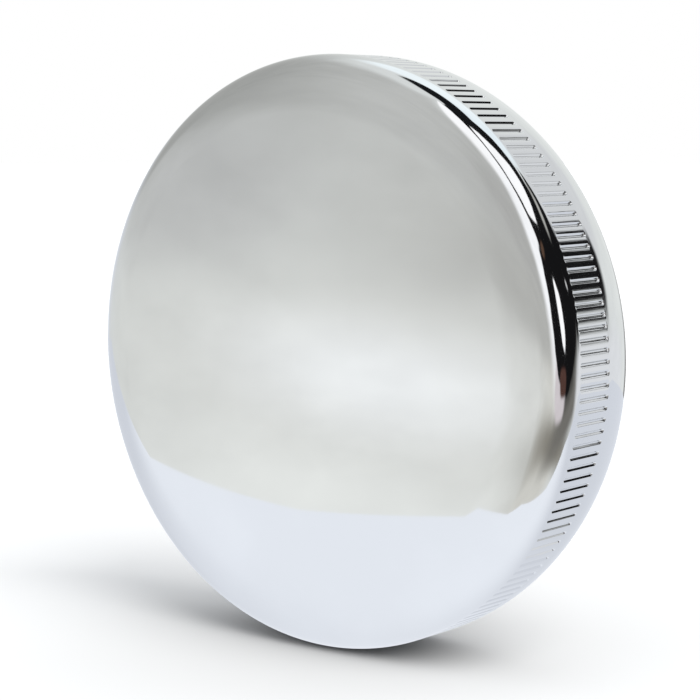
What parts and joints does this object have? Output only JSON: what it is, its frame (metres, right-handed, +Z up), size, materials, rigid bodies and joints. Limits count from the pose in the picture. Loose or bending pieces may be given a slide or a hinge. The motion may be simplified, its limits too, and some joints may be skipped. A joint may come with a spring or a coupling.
{
  "type": "deck fill cap",
  "caption": "Round chrome twist-on filler cap with a smooth domed face, a fluted grip band, two bayonet lugs, a sprung swivelling gasket and a pressure and vacuum vent inside.",
  "frame": {"origin": "centre of the gasket's sealing face, on the cap's axis", "axes": "+Y along the cap's axis, from the domed face into the filler neck; +Z up as the cap stands on its fluted edge; the bayonet lugs lie along X"},
  "size_m": [0.078, 0.0282, 0.078],
  "materials": {
    "chrome": "mirror polished plating",
    "zinc_plate": "zinc-plated stamped steel",
    "spring_steel": "bright drawn spring steel",
    "brass": "turned brass",
    "rubber": "matt nitrile rubber",
    "nylon": "natural nylon"
  },
  "bodies": {
    "cap": {"outer_shell": "chrome", "inner_plate": "zinc_plate", "locking_cup": "zinc_plate", "rivet_1": "zinc_plate", "rivet_2": "zinc_plate", "rivet_3": "zinc_plate", "rivet_4": "zinc_plate", "valve_seat": "zinc_plate", "snap_ring": "spring_steel", "wave_spring": "spring_steel", "pressure_spring": "spring_steel"},
    "gasket_lift": {"slip_washer": "nylon"},
    "gasket_ring": {"gasket_plate": "zinc_plate", "gasket": "rubber"},
    "pressure_valve": {"pressure_disc": "brass", "pressure_seal": "rubber", "vacuum_spring": "spring_steel"},
    "vacuum_valve": {"vacuum_stem": "brass", "vacuum_seal": "rubber", "vacuum_clip": "spring_steel"}
  },
  "joints": [
    {"name": "gasket_lift_slide", "type": "slide", "parent": "cap", "child": "gasket_lift", "axis": [0, -1, 0], "range_m": [0, 0.0018], "stiffness_N_per_m": 1200, "springref_m": -0.002, "deforming": ["wave_spring"]},
    {"name": "gasket_swivel", "type": "hinge", "parent": "gasket_lift", "child": "gasket_ring", "pos_m": [0, 0, 0], "axis": [0, 1, 0], "continuous": true},
    {"name": "pressure_valve_slide", "type": "slide", "parent": "cap", "child": "pressure_valve", "axis": [0, -1, 0], "range_m": [0, 0.002], "stiffness_N_per_m": 400, "springref_m": -0.002, "deforming": ["pressure_spring"]},
    {"name": "vacuum_valve_slide", "type": "slide", "parent": "pressure_valve", "child": "vacuum_valve", "axis": [0, 1, 0], "range_m": [0, 0.0012], "stiffness_N_per_m": 100, "springref_m": -0.002, "deforming": ["vacuum_spring"]}
  ]
}
